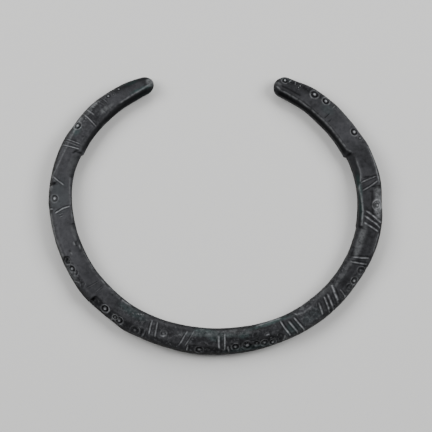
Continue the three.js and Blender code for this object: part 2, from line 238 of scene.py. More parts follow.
# Form of a groove, in shares of its width. Its sides follow a power, its ends keep a share of the
# depth, and where they fade is said in millimetres.
GROOVE_DEPTH_SHARE = 0.42
GROOVE_END_DEPTH = 0.6
GROOVE_HALF_WIDTH = 0.6
GROOVE_CURVE = 0.85
GROOVE_START = (-0.1, 0.4)
GROOVE_STOP = (-0.1, 0.25)
GROOVE_WORN_WIDTH = 0.32
# Painted shadow: where it lies along a worn groove's borders and how dark it is, then its width and
# darkness on the floor of a groove with no wear
GROOVE_BORDER = 0.8
GROOVE_BORDER_WIDTH = 0.28
GROOVE_BORDER_START = 0.4
GROOVE_BORDER_SHADE = 0.75
GROOVE_FLOOR_WIDTH = 0.5
GROOVE_FLOOR_SHADE = 0.9

# Lines of wear with painted highlights along the arrises, and crescents of rims with wear: points,
# width, strength
WORN_AND_HIGHLIGHT_LINES = [
    ([(119.0, -0.2), (122.0, -0.65), (125.5, -0.85), (133.5, -1.05)], 0.30, 0.7),
    ([(169.4, -1.3), (172.6, -1.5), (178.5, -1.85), (180.5, -1.85)], 0.20, 0.45),
    ([(181.5, -1.95), (186.0, -1.95)], 0.20, 0.7),
    ([(182.5, 2.4), (190.4, 2.35), (198.7, 2.2)], 0.40, 0.5),
    ([(198.4, -2.1), (208.2, -2.2)], 0.25, 0.4), ([(213.1, -2.1), (216.1, -2.1)], 0.30, 0.5),
    ([(217.5, -2.1), (220.5, -2.4)], 0.30, 0.5), ([(225.0, -2.0), (229.5, -2.1)], 0.35, 0.7),
    ([(262.2, -2.2), (264.6, -2.4)], 0.35, 0.5), ([(265.6, -1.4), (267.4, -1.4)], 0.35, 0.5),
    ([(287.7, -2.2), (299.7, -2.2)], 0.40, 0.6),
    ([(306.0, -1.4), (309.0, -1.0), (313.5, -1.1)], 0.35, 0.45),
    ([(352.2, -1.65), (358.2, -1.7), (364.2, -2.0), (367.2, -2.2), (369.2, -1.9)], 0.30, 0.75),
    ([(369.2, -1.9), (371.2, -1.5), (373.2, -1.2), (379.2, -1.1)], 0.24, 0.50),
    ([(382.4, -1.3), (383.5, -1.85), (386.2, -1.95), (394.2, -1.9), (400.2, -1.8),
      (406.2, -1.55)], 0.30, 0.7),
    ([(406.2, -1.55), (412.2, -1.25), (418.2, -1.05), (421.7, -0.85), (423.6, -0.3)], 0.30, 0.7),
    ([(368.2, 2.35), (376.2, 2.45), (381.5, 2.4)], 0.28, 0.7),
    ([(388.2, 2.3), (399.2, 2.3)], 0.30, 0.2), ([(344.1, 2.35), (351.1, 2.35)], 0.30, 0.5),
    ([(146.6, 2.5), (170.6, 2.5)], 0.35, 0.3), ([(142.6, -2.3), (160.6, -2.2)], 0.30, 0.25),
    ([(246.6, 0.9), (247.5, 0.8), (248.4, 0.45)], 0.35, 1.0),
    ([(253.1, -0.25), (255.0, -0.5)], 0.35, 0.45), ([(194.9, -1.0), (195.7, -1.0)], 0.30, 2.2),
    ([(197.0, -1.9), (197.7, -1.9)], 0.30, 1.6), ([(198.1, 0.4), (198.7, 0.3)], 0.28, 1.5),
]

# Casting pits: angle, distance out, radius, depth
PITS = [
    (195.6, -1.2, 0.40, 0.20), (195.2, -1.7, 0.30, 0.15), (197.5, -2.0, 0.30, 0.15),
    (196.5, -1.4, 0.30, 0.16), (197.5, 0.5, 0.25, 0.12), (221.0, -1.4, 0.28, 0.16),
    (229.2, -1.5, 0.30, 0.10), (365.4, 0.2, 0.22, 0.10),
]

# Form of a pit: its reach in radii, how fast it gets shallower, the most darkness, painted shade with
# some dirt, that it holds and the depth at which it would be fully dark
PIT_REACH = 2.5
PIT_FALLOFF = 1.2
PIT_MOST_SHADE_AND_DIRT = 0.8
PIT_SHADE_AND_DIRT_DEPTH = 0.2

# Small pits strewn over the front: their number, margin to the ends in degrees and ranges
SPECKLE_PITS = 260
SPECKLE_SEED = 11
SPECKLE_END_MARGIN = 3
SPECKLE_OUTS = (-2.3, 2.6)
SPECKLE_RADII = (0.1, 0.26)
SPECKLE_DEPTHS = (0.02, 0.07)

# Rough, mottled stretches: from and to an angle, from and to a distance out, strength
ROUGH_STRETCHES = [
    (136, 152, 1.0, 2.6, 0.8), (152, 172, 1.4, 2.6, 0.3), (182, 199, 1.6, 2.6, 0.3),
    (199, 211, 1.0, 2.8, 1.0), (217, 240, 0.8, 2.9, 0.7), (240, 258, 1.2, 2.8, 0.7),
    (258, 275, 1.4, 2.8, 0.9), (275, 298, 0.6, 2.8, 1.0), (298, 326, 1.4, 2.6, 0.8),
    (326, 338, 1.0, 2.4, 0.6), (355, 367, 0.9, 2.5, 0.5), (383, 423, 1.2, 2.4, 0.4),
    (198, 345, -2.4, -1.6, 0.7), (226, 300, -1.6, 1.0, 0.45), (306, 316, -1.4, 1.6, 0.55),
    (136, 158, -1.0, 1.2, 0.35),
]
ROUGH_EDGE_ALONG = 0.8
ROUGH_EDGE_ACROSS = 0.2

# Knocks in the rough stretches
KNOCKS_TO_A_DEGREE = 1.3
KNOCK_DEPTH = 0.07
KNOCK_RADII = (0.14, 0.32)

# Waves of the cast surface: how many to a millimetre, shift, height. The surface is set in a
# little, so that they hardly rise past the solid.
CAST_WAVES = [(0.33, (0, 0, 0), 0.04), (1.1, (7, 3, 1), 0.022), (3.4, (2, 9, 4), 0.012)]
CAST_INSET = 0.04

# How far the relief fades towards the ends, so that the caps stay whole
END_FADE = 0.8

# Corrosion, pale wear and crust with some painted glints, and dirt with some painted shade: angle,
# distance out, half length along the bar, half width across it, strength
GREEN_PATCHES = [
    (125.1, 1.6, 1.5, 0.45, 0.7), (122.5, -0.6, 2.6, 0.4, 0.6), (123.0, -1.9, 2.2, 0.5, 0.5),
    (231.8, -1.2, 3.2, 1.0, 0.25), (269.7, -0.8, 1.6, 0.9, 0.3), (281.8, -0.8, 1.2, 0.7, 0.3),
    (268.0, -1.3, 6.0, 0.5, 0.3), (264.6, -2.0, 2.5, 0.5, 0.5), (293.7, -2.1, 4.6, 0.4, 0.8),
    (302.2, 1.0, 1.6, 1.4, 0.25), (364.4, -2.3, 4.6, 0.5, 0.9), (152.3, 1.5, 1.3, 0.9, 0.4),
    (401.0, 0.6, 1.6, 1.2, 0.15), (311.0, 0.6, 2.4, 1.3, 0.12), (283.0, 2.2, 5.5, 0.6, 0.4),
    (421.5, 1.9, 1.5, 0.6, 0.4), (176.8, 0.4, 4.0, 2.0, 0.1),
]
# Pale patches: those at the left tip and near 138 and 140 degrees are painted glints, those on the inner
# facets near 164 and 347 degrees are painted light with some polish, and the rest are pale crust and
# wear
PALE_PATCHES = [
    (118.2, 0.3, 0.9, 0.8, 1.0), (140.0, -0.2, 1.1, 0.5, 0.6), (137.6, -0.4, 1.3, 0.35, 0.4),
    (141.1, 2.2, 1.2, 0.35, 0.9), (144.5, 1.9, 1.5, 0.5, 0.4), (148.6, 2.0, 0.7, 0.4, 0.9),
    (154.1, 1.8, 1.2, 0.3, 0.5), (170.3, 2.5, 0.5, 0.2, 0.7), (174.3, 2.4, 0.6, 0.35, 0.7),
    (363.6, 1.75, 2.1, 0.8, 0.9), (359.0, 1.75, 2.1, 0.8, 0.9), (423.4, 0.3, 0.7, 0.3, 0.7),
    (325.7, 2.2, 0.35, 0.3, 1.0), (195.3, -1.0, 0.4, 0.15, 0.8), (197.3, -1.9, 0.5, 0.15, 0.8),
    (309.5, -1.9, 0.4, 0.4, 0.6), (346.7, -1.1, 4.0, 0.7, 0.6), (164.3, -1.1, 2.6, 0.8, 0.25),
    (191.2, -1.7, 1.8, 0.4, 0.35), (333.0, -1.3, 6.0, 0.45, 0.3), (321.0, -1.8, 3.0, 0.4, 0.35),
    (268.0, -1.9, 4.5, 0.4, 0.2), (267.0, -1.3, 6.0, 0.5, 0.35), (278.5, -1.3, 4.5, 0.45, 0.35),
    (276.5, -2.0, 3.0, 0.4, 0.3), (205.5, 2.2, 2.5, 0.5, 0.4), (332.0, 1.8, 2.8, 0.5, 0.3),
    (229.3, -2.1, 0.4, 0.2, 0.8), (298.0, 2.2, 0.6, 0.4, 0.5), (177.9, 1.6, 0.9, 0.9, 0.35),
    (226.9, 2.5, 0.2, 0.2, 0.8), (226.3, 1.5, 0.25, 0.15, 0.8), (227.3, 1.3, 0.3, 0.15, 0.9),
    (227.3, 1.9, 0.2, 0.2, 0.7), (118.8, -0.5, 0.6, 0.3, 0.7),
]
# Dark patches: those at the bevels' steps near 199, 217, 338, 352 and 382 degrees are painted shadow,
# those on the inner bevel near the left end are painted shade, and the rest are dirt
DARK_PATCHES = [
    (126.0, -1.7, 4.5, 0.5, 0.8), (138.0, -2.1, 3.5, 0.35, 0.7), (150.0, -2.0, 3.5, 0.2, 0.6),
    (216.9, 2.2, 0.35, 0.7, 1.0), (199.5, 2.0, 0.75, 0.75, 1.0), (338.3, 2.2, 0.75, 0.7, 1.0),
    (219.3, 1.1, 1.4, 0.25, 0.6), (225.2, 2.2, 0.8, 0.5, 0.5), (261.4, 1.3, 1.3, 0.2, 0.7),
    (250.0, 2.7, 4.0, 0.3, 0.7), (288.0, 0.6, 6.0, 0.25, 0.5), (381.8, -1.9, 0.25, 0.5, 1.0),
    (352.0, -1.1, 0.2, 0.8, 0.8), (361.0, 0.3, 3.4, 0.3, 0.6), (236.3, 1.9, 1.1, 0.9, 0.6),
    (331.0, 0.1, 2.5, 0.5, 0.4), (346.6, 0.3, 3.6, 0.5, 0.25),
]

# Soft edges of the patches, in shares of their size: where they end and where they are full
PATCH_EDGE = (1.4, 0.5)

# Painted shade, with some thicker dirt, along the bevels: points, width, strength
SHADE_AND_DIRT_LINES = [
    ([(120, -1.3), (125, -1.65), (133, -1.95), (142, -2.15), (156, -2.25)], 1.1, 0.9),
    ([(383, -2.65), (392, -2.65), (400, -2.5), (408, -2.25), (416, -1.9), (422, -1.5)], 1.7, 0.95),
    ([(147, -1.9), (158, -1.9)], 1.5, 0.55), ([(159.8, -1.75), (170, -1.75)], 1.5, 0.75),
    ([(171, -1.9), (187, -2.0)], 1.3, 0.42), ([(187, -1.9), (200, -1.95)], 1.4, 0.65),
    ([(200, -1.9), (233, -2.0)], 1.4, 0.45), ([(233, -1.9), (257, -2.0)], 1.5, 0.5),
    ([(279, -2.0), (292, -2.0)], 1.3, 0.3), ([(342, -1.8), (364, -1.9)], 1.2, 0.25),
    ([(307, -1.9), (319, -1.95)], 1.3, 0.35), ([(117, 1.3), (124, 1.6), (134, 1.8)], 1.5, 0.72),
    ([(405, 1.8), (416, 1.7), (423, 1.4)], 1.6, 0.8), ([(326, 1.9), (337, 1.9)], 1.5, 0.3),
    ([(152.5, 2.0), (171, 2.2)], 1.2, 0.2), ([(381, 2.1), (400, 2.1)], 1.2, 0.2),
    ([(201, 2.0), (210, 2.0)], 1.5, 0.2), ([(217.5, 2.0), (239, 2.1)], 1.9, 0.47),
    ([(241, 2.4), (257, 2.4)], 1.5, 0.3), ([(259, 2.1), (270, 2.1)], 1.6, 0.3),
    ([(275.5, 1.8), (297, 1.9)], 2.1, 0.42),
]

# Lightness of the patina along the bow: angle, from 0 for dark to 1 for light
PATINA = [(116, 0.36), (130, 0.54), (144, 0.44), (166, 0.68), (192, 0.66), (214, 0.46), (245, 0.40),
          (286, 0.13), (296, 0.32), (310, 0.48), (324, 0.27), (358, 0.23), (372, 0.38), (393, 0.54),
          (408, 0.42), (425, 0.36)]

# Lines of wear with painted highlights, and lines of painted shade and dirt: how their ends fade, in
# millimetres, and their half width as a share of their width. A mark is worked out no further from its
# points than MARK_REACH times its width.
LINE_FADE = (-0.3, 0.6)
LINE_HALF_WIDTH = 0.5
MARK_REACH = 2

# Painted shade with some dirt on the bevels and walls, by steepness: heights of the normal at which it
# starts and where it is full, on either side
OUTER_SHADE_AND_GRIME = (0.85, 0.25)
INNER_SHADE_AND_GRIME = (0.98, 0.2)
OUTER_SHADE_AND_GRIME_MOST = 0.85
INNER_SHADE_AND_GRIME_MOST = 0.62
UNDERSIDE_SHADE_AND_GRIME = 0.35
UNDERSIDE_SLOPE = (-0.8, -0.1)

# Colours and wear of the bronze
DARK_PATINA = (0.0055, 0.0056, 0.0064)
LIGHT_PATINA = (0.0745, 0.0755, 0.0825)
# Bronze with wear, also the colour of the painted highlights
WORN_BRONZE_AND_HIGHLIGHT = (0.36, 0.37, 0.385)
# Pale crust, and the colour of the painted glints
PALE_CRUST_AND_GLINT = (0.135, 0.14, 0.145)
GREEN_PATINA = (0.030, 0.066, 0.062)
# Dark colour of the painted shade and of dirt
SHADE_AND_GRIME_COLOUR = (0.0045, 0.0048, 0.0055)
EDGE_WEAR = 0.05
GROOVE_WEAR = 0.72
LINE_WEAR_AND_HIGHLIGHT = 0.68
ROUGH_WEAR = 0.22
ROUGH_DIRT = 0.55

# Noise in the bronze: fineness to a metre, detail, shift, roughness. The shift is shared out over
# the three axes.
BROAD_NOISE = (260, 3, 1.0, 0.6)
FINE_NOISE = (1300, 5, 4.0, 0.65)
MOTTLE_NOISE = (1900, 2, 9.0, 0.6)
SHIFT_SHARES = (1.0, 0.7, 0.3)

# How the noise breaks up tone, corrosion, pale crust with painted glints, wear with painted highlights,
# and dirt: low and high noise, value at each. In EDGE_TIPS the sharpness of an arris stands in for the
# noise.
FINE_TONE = (0.3, 0.7, -0.13, 0.13)
BROAD_TONE = (0.35, 0.65, -0.09, 0.09)
GREEN_GRAIN = (0.3, 0.6, 0.25, 1.0)
PALE_GRAIN = (0.35, 0.6, 0.35, 1.0)
WEAR_AND_HIGHLIGHT_GRAIN = (0.32, 0.6, 0.3, 1.0)
ROUGH_HOLLOWS = (0.52, 0.34, 0, ROUGH_DIRT)
ROUGH_TIPS = (0.5, 0.74, 0, ROUGH_WEAR)
EDGE_TIPS = (0.3, 0.9, 0, EDGE_WEAR)

# Gloss of the bronze, rougher where the fine noise is high, and its fine bumps, in metres
ROUGHNESS_GRAIN = (0.3, 0.7, 0.5, 0.68)
METALLIC = 0.2
SPECULAR_LEVEL = 0.07
BUMP_STRENGTH = 0.35
BUMP_DISTANCE = 0.00006

# Stage, in metres and watts: a pale floor, softboxes left and right and a weaker one behind, and a
# weak even sky. A light has its name, place, side and power.
FLOOR_REACH = 1.5
FLOOR_COLOUR = (0.78, 0.78, 0.77)
FLOOR_ROUGHNESS = 0.9
LIGHTS = [
    ("left", (-0.38, 0.14, 0.48), 0.35, 2.6),
    ("right", (0.38, 0.14, 0.48), 0.35, 2.6),
    ("behind", (0.0, 0.48, 0.42), 0.35, 1.4),
]
WORLD_STRENGTH = 0.12

# Camera: nearly straight down, from a little to the left and the front. Its distance is in metres,
# and its aim, the width of its view and its sensor are in millimetres.
CAMERA_DISTANCE = 0.60
CAMERA_TILT = (-0.098, -0.060)
CAMERA_AIM = (-0.09, -0.16, 2.5)
VIEW_WIDTH = 92.1
SENSOR = 36.0


def table(stations):
    return np.array(stations, dtype=float).T


def smooth_between(angles, stations):
    """Values between given stations, eased in and out of each."""
    at, values = table(stations)
    last = np.clip(np.searchsorted(at, angles, side="right"), 1, len(at) - 1)
    way = smooth_step(at[last - 1], at[last], angles)
    return values[last - 1] + (values[last] - values[last - 1]) * way


def smooth_step(low, high, value):
    way = np.clip((value - low) / (high - low), 0, 1)
    return way * way * (3 - 2 * way)


def bell(gap, width):
    return np.exp(-(gap / width) ** 2)


def plateau(gap, width):
    return np.exp(-(gap / width) ** 4)


def bow_radius(angles):
    oval = OVAL_REACH * np.cos(2 * np.radians(angles - OVAL_TURN))
    egg = EGG_REACH * np.cos(3 * np.radians(angles - EGG_TURN))
    return BOW_RADIUS + oval + egg


def bow_middle(angles):
    turned = np.radians(angles)
    return np.stack([np.cos(turned), np.sin(turned)], -1) * bow_radius(angles)[..., None]


def bow_out(angles):
    along = bow_middle(angles + TANGENT_STEP) - bow_middle(angles - TANGENT_STEP)
    along /= np.linalg.norm(along, axis=-1, keepdims=True)
    return np.stack([along[..., 1], -along[..., 0]], -1)


def bow_place(marks):
    """Points in plan for marks given as angle and distance out."""
    angles, outs = table(marks)
    return bow_middle(angles) + bow_out(angles) * outs[:, None]


def end_distance(angles):
    return np.radians(np.minimum(angles - LEFT_END, RIGHT_END - angles)) * bow_radius(angles)


def end_share(angles):
    gap = np.clip(1 - end_distance(angles) / END_ROUNDING, 0, 1)
    return np.maximum(END_BLUNTNESS, np.sqrt(1 - gap * gap))


def bar_height(angles):
    way = smooth_step(0, HEIGHT_TAPER_LENGTH, end_distance(angles))
    return (END_HEIGHT + (BAR_HEIGHT - END_HEIGHT) * way) * end_share(angles)


def section_corners(angles):
    """Corners of the bar's section at each angle, as distance out and height over mid-height."""
    inner = BAR_WIDTH / 2 * smooth_between(angles, INNER_SIDE) * end_share(angles)
    outer = BAR_WIDTH / 2 * smooth_between(angles, OUTER_SIDE) * end_share(angles)
    top = bar_height(angles) / 2
    ease = (inner + outer) / BAR_WIDTH
    at, width, drop = table(OUTER_BEVEL)
    outer_width = ease * np.interp(angles, at, width)
    outer_drop = ease * np.interp(angles, at, drop)
    at, width, drop = table(INNER_BEVEL)
    inner_width = ease * np.interp(angles, at, width)
    inner_drop = ease * np.interp(angles, at, drop)
    wall = ease * OUTER_WALL_LEAN
    corners = [
        (-inner, top - inner_drop),
        (-inner + inner_width, top),
        (outer - wall - outer_width, top),
        (outer - wall, top - outer_drop),
        (outer, 0 * top),
        (outer - wall, -top + PLAIN_OUTER[1] * ease),
        (outer - wall - PLAIN_OUTER[0] * ease, -top),
        (-inner + PLAIN_INNER[0] * ease, -top),
        (-inner, -top + PLAIN_INNER[1] * ease),
    ]
    return np.stack([np.stack(corner, -1) for corner in corners], 1)


def blur_loop(loops, spread):
    """Rounds closed loops by a Gaussian over that many samples."""
    count = loops.shape[1]
    lag = np.minimum(np.arange(count), count - np.arange(count))
    kernel = np.exp(-0.5 * (lag / spread) ** 2)
    kernel /= kernel.sum()
    turned = np.fft.rfft(loops, axis=1) * np.fft.rfft(kernel)[None, :, None]
    return np.fft.irfft(turned, n=count, axis=1)


def section_loops(angles):
    """Closed, rounded sections, sampled evenly round, and the front's share of each one's length."""
    corners = section_corners(angles)
    closed = np.concatenate([corners, corners[:, :1]], 1)
    sides = np.linalg.norm(np.diff(closed, axis=1), axis=-1)
    reach = np.concatenate([np.zeros((len(angles), 1)), np.cumsum(sides, 1)], 1)
    share = np.arange(LOOP_SAMPLES) / LOOP_SAMPLES
    loops = np.empty((len(angles), LOOP_SAMPLES, 2))
    for i in range(len(angles)):
        place = share * reach[i, -1]
        loops[i, :, 0] = np.interp(place, reach[i], closed[i, :, 0])
        loops[i, :, 1] = np.interp(place, reach[i], closed[i, :, 1])
    per_sample = np.median(reach[:, -1] / LOOP_SAMPLES)
    fine = blur_loop(loops, CORNER_ROUNDING / per_sample)
    broad = blur_loop(loops, EDGE_SCALE / per_sample)
    return fine, broad, reach[:, FRONT_SIDES] / reach[:, -1]


def mark_spans():
    """Stretches of the bow, in degrees, that hold marks and need the fine mesh."""
    reach = math.degrees(FINE_PUNCH_MARGIN / BOW_RADIUS)
    spans = [(angle - reach * size, angle + reach * size) for angle, _, size, _, _ in PUNCHES]
    for marks, width, _ in GROOVES:
        edge = math.degrees((width / 2 + FINE_GROOVE_MARGIN) / BOW_RADIUS)
        angles = [angle for angle, _ in marks]
        spans.append((min(angles) - edge, max(angles) + edge))
    spans += [(angle - FINE_PIT_MARGIN, angle + FINE_PIT_MARGIN) for angle, _, _, _ in PITS]
    for stations in (OUTER_BEVEL, INNER_BEVEL):
        places = [station[0] for station in stations]
        steps = [(a, b) for a, b in zip(places, places[1:]) if b - a < STEP_MOST]
        spans += [(a - FINE_STEP_MARGIN, b + FINE_STEP_MARGIN) for a, b in steps]
    return spans


def station_angles():
    """Angles of the mesh's sections, close together where there are marks. Their count is odd."""
    angles = np.linspace(LEFT_END, RIGHT_END, BOW_SAMPLES)
    lengths = np.linalg.norm(np.diff(bow_middle(angles), axis=0), axis=1)
    arcs = np.concatenate([[0], np.cumsum(lengths)])
    fine = np.zeros(len(angles), bool)
    for low, high in mark_spans():
        fine |= (angles > low) & (angles < high)
    density = np.where(fine, 1 / FINE_STEP, 1 / PLAIN_STEP)
    smooth = np.ones(STEP_BLUR) / STEP_BLUR
    density = np.convolve(np.pad(density, STEP_BLUR // 2, mode="edge"), smooth, mode="valid")
    between_ends = (arcs >= END_ROUNDING) & (arcs <= arcs[-1] - END_ROUNDING)
    arc, dense = arcs[between_ends], density[between_ends]
    count = np.concatenate([[0], np.cumsum((dense[1:] + dense[:-1]) / 2 * np.diff(arc))])
    steps = int(round(count[-1]))
    middle = np.interp(np.linspace(0, count[-1], steps + 1), count, arc)
    curve = END_ROUNDING * (1 - np.cos(np.linspace(0, math.pi / 2, END_STEPS, endpoint=False)))
    places = np.concatenate([curve, middle, arcs[-1] - curve[::-1]])
    if len(places) % 2 == 0:
        places = np.delete(places, len(places) // 2)
    return np.interp(places, arcs, angles)


def column_shares():
    """Shares of the front's width for its columns, closer together in the punched band."""
    share = np.linspace(0, 1, COLUMN_SAMPLES)
    density = np.where((share > FINE_BAND[0]) & (share < FINE_BAND[1]), FINE_BAND_DENSITY, 1.0)
    count = np.concatenate([[0], np.cumsum(density[1:])])
    return np.interp(np.linspace(0, count[-1], FRONT_COLUMNS), count, share)


def pick(loops, front_share):
    """Columns of the front, from inner edge to outer wall, and of the back, on round to the start."""
    count = loops.shape[1]
    closed = np.concatenate([loops, loops[:, :1]], 1)
    grid = np.arange(count + 1) / count
    front_cols = column_shares()
    back_cols = np.linspace(0, 1, BACK_COLUMNS + 2)[1:-1]
    out = np.empty((len(loops), FRONT_COLUMNS + BACK_COLUMNS, 2))
    for i, share in enumerate(front_share):
        place = np.concatenate([front_cols * share, share + back_cols * (1 - share)])
        out[i, :, 0] = np.interp(place, grid, closed[i, :, 0])
        out[i, :, 1] = np.interp(place, grid, closed[i, :, 1])
    return out


def lift(angles, sections):
    """Points in space for sections given as distance out and height over mid-height."""
    flat = bow_middle(angles)[:, None] + bow_out(angles)[:, None] * sections[..., :1]
    return np.concatenate([flat, BAR_HEIGHT / 2 + sections[..., 1:]], -1)


def grid_normals(points):
    around = np.roll(points, -1, 1) - np.roll(points, 1, 1)
    along = np.gradient(points, axis=0)
    normal = np.cross(around, along)
    normal /= np.maximum(np.linalg.norm(normal, axis=-1, keepdims=True), LEAST_LENGTH)
    return normal


def keep_most(field, part, value):
    field[part] = np.maximum(field[part], value)


def line_gap(front, marks):
    """Distance in plan from each point to a bent line, and how far along the line its foot lies."""
    spine = bow_place(marks)
    steps = np.linalg.norm(np.diff(spine, axis=0), axis=1)
    aside = np.full(front.shape[:-1], np.inf)
    along = np.zeros(front.shape[:-1])
    start = 0.0
    for a, b, length in zip(spine, spine[1:], steps):
        gap = front - a
        share = np.clip(gap @ (b - a) / length ** 2, 0, 1)
        away = np.linalg.norm(gap - share[..., None] * (b - a), axis=-1)
        nearer = away < aside
        aside = np.where(nearer, away, aside)
        along = np.where(nearer, start + share * length, along)
        start += length
    return aside, along, start


def rows_near(angles, marks, reach):
    edge = math.degrees(reach / BOW_RADIUS)
    places = [angle for angle, _ in marks]
    return slice(*np.searchsorted(angles, [min(places) - edge, max(places) + edge]))


class Relief:
    """Depth of the marks over the front, and how much wear with painted highlights and how much painted
    shade with dirt each place gets.
    """

    def __init__(self, angles, points, normals):
        self.angles = angles
        self.points = points[:, :FRONT_COLUMNS]
        self.normals = normals[:, :FRONT_COLUMNS]
        shape = points.shape[:2]
        self.height = np.zeros(shape)
        self.wear_and_highlight = np.zeros(shape)
        self.dark = np.zeros(shape)

    def add_groove(self, marks, width, wear):
        rows = rows_near(self.angles, marks, width * MARK_REACH)
        part = (rows, slice(FRONT_COLUMNS))
        aside, along, length = line_gap(self.points[rows, :, :2], marks)
        aside /= width
        fade = smooth_step(*GROOVE_START, along) * smooth_step(*GROOVE_STOP, length - along)
        cut = np.clip(1 - aside / GROOVE_HALF_WIDTH, 0, 1) ** GROOVE_CURVE
        fullness = GROOVE_END_DEPTH + (1 - GROOVE_END_DEPTH) * fade
        depth = GROOVE_DEPTH_SHARE * width * fullness * cut
        self.height[part] = np.minimum(self.height[part], -depth)
        if wear:
            worn_floor = bell(aside, GROOVE_WORN_WIDTH)
            keep_most(self.wear_and_highlight, part, GROOVE_WEAR * wear * fade * worn_floor)
            # Painted shadow along the borders
            border = bell(aside - GROOVE_BORDER, GROOVE_BORDER_WIDTH) * (aside > GROOVE_BORDER_START)
            keep_most(self.dark, part, GROOVE_BORDER_SHADE * fade * border)
        else:
            # Painted shadow on the floor
            keep_most(self.dark, part, GROOVE_FLOOR_SHADE * fade * bell(aside, GROOVE_FLOOR_WIDTH))

    def paint_line(self, field, marks, width, strength):
        rows = rows_near(self.angles, marks, width * MARK_REACH)
        aside, along, length = line_gap(self.points[rows, :, :2], marks)
        fade = smooth_step(*LINE_FADE, along) * smooth_step(*LINE_FADE, length - along)
        line = strength * fade * bell(aside, LINE_HALF_WIDTH * width)
        keep_most(field, (rows, slice(FRONT_COLUMNS)), line)

    def nearest(self, angle, out):
        gap = self.points[..., :2] - bow_place([(angle, out)])[0]
        return np.unravel_index(np.argmin((gap ** 2).sum(-1)), gap.shape[:2])

    def add_punch(self, angle, out, radius, boss, rim):
        centre = self.nearest(angle, out)
        rows = rows_near(self.angles, [(angle, out)], radius * PUNCH_REACH)
        part = (rows, slice(FRONT_COLUMNS))
        gap = self.points[rows] - self.points[centre]
        up = gap @ self.normals[centre]
        away = np.sqrt(np.maximum((gap ** 2).sum(-1) - up ** 2, 0)) / radius
        near = (np.abs(up) < PUNCH_SLOPE) * 1.0
        strength = max(boss, rim)
        moat = near * plateau(away - PUNCH_MOAT, PUNCH_MOAT_WIDTH)
        self.height[part] -= strength * PUNCH_DEPTH * math.sqrt(radius) * moat
        keep_most(self.wear_and_highlight, part, near * boss * plateau(away, PUNCH_DOT))
        turn = np.arctan2(gap[..., 1], gap[..., 0]) + angle
        uneven = 1 - PUNCH_UNEVENNESS * (2 + np.cos(turn) + np.cos(3 * turn + angle)) / 4
        worn_rim = rim * uneven * bell(away - PUNCH_RIM, PUNCH_RIM_WIDTH)
        keep_most(self.wear_and_highlight, part, near * worn_rim)
        # Painted shade in the moat
        keep_most(self.dark, part, min(1, PUNCH_LEAST_SHADE + PUNCH_MORE_SHADE * strength) * moat)

    def add_pit(self, angle, out, radius, depth):
        centre = self.nearest(angle, out)
        rows = rows_near(self.angles, [(angle, out)], radius * PIT_REACH)
        part = (rows, slice(FRONT_COLUMNS))
        away = np.linalg.norm(self.points[rows] - self.points[centre], axis=-1) / radius
        dip = np.exp(-PIT_FALLOFF * away ** 2)
        self.height[part] -= depth * dip
        # Painted shade with some dirt in the pit, darker the deeper it is
        keep_most(self.dark, part, dip * min(PIT_MOST_SHADE_AND_DIRT, depth / PIT_SHADE_AND_DIRT_DEPTH))


def speckles(random):
    """Small pits anywhere on the front, short of the ends."""
    low, high = LEFT_END + SPECKLE_END_MARGIN, RIGHT_END - SPECKLE_END_MARGIN
    return [
        (random.uniform(low, high), random.uniform(*SPECKLE_OUTS),
         random.uniform(*SPECKLE_RADII), random.uniform(*SPECKLE_DEPTHS))
        for _ in range(SPECKLE_PITS)
    ]


def knocks(random):
    """Shallow dents, closer together in the rougher stretches."""
    return [
        (random.uniform(low, high), random.uniform(inner, outer),
         random.uniform(*KNOCK_RADII), KNOCK_DEPTH)
        for low, high, inner, outer, strength in ROUGH_STRETCHES
        for _ in range(round((high - low) * strength * KNOCKS_TO_A_DEGREE))
    ]


def patch_field(points, patches):
    """Soft-edged patches round places on the front face."""
    field = np.zeros(points.shape[:2])
    for angle, out, length, width, strength in patches:
        centre = bow_place([(angle, out)])[0]
        facing = bow_out(np.array([float(angle)]))[0]
        gap = points[..., :2] - centre
        across = gap @ facing / width
        along = gap @ np.array([-facing[1], facing[0]]) / length
        field = np.maximum(field, strength * smooth_step(*PATCH_EDGE, np.hypot(along, across)))
    field[:, FRONT_COLUMNS:] = 0
    return field


def between(low, high, edge, value):
    """1 between two ends and 0 beyond them, eased over an edge on either side of each end."""
    risen = smooth_step(low - edge, low + edge, value)
    return risen * smooth_step(high + edge, high - edge, value)


def rough_field(angles, outs):
    """Soft-edged stretches of the front where the surface is knocked and mottled."""
    field = np.zeros(outs.shape)
    for low, high, inner, outer, strength in ROUGH_STRETCHES:
        along = between(low, high, ROUGH_EDGE_ALONG, angles)
        across = between(inner, outer, ROUGH_EDGE_ACROSS, outs)
        field = np.maximum(field, strength * along[:, None] * across)
    field[:, FRONT_COLUMNS:] = 0
    return field


def shade_and_dirt_by_slope(up, inner):
    """Painted shade with some dirt on the bevels and walls, from the height of the normal, thinner on
    the underside.
    """
    front = np.where(
        inner,
        INNER_SHADE_AND_GRIME_MOST * smooth_step(*INNER_SHADE_AND_GRIME, up),
        OUTER_SHADE_AND_GRIME_MOST * smooth_step(*OUTER_SHADE_AND_GRIME, up),
    )
    upright = smooth_step(*UNDERSIDE_SLOPE, up)
    return np.minimum(front, UNDERSIDE_SHADE_AND_GRIME + (1 - UNDERSIDE_SHADE_AND_GRIME) * upright)


def cast_waves(points):
    """Low waves and fine roughness of a cast, corroded surface: how far out each point lies."""
    flat = points.reshape(-1, 3)
    total = np.full(len(flat), -CAST_INSET)
    for fineness, shift, height in CAST_WAVES:
        total += height * np.array([noise.noise(Vector(p) * fineness + Vector(shift)) for p in flat])
    return total.reshape(points.shape[:2])


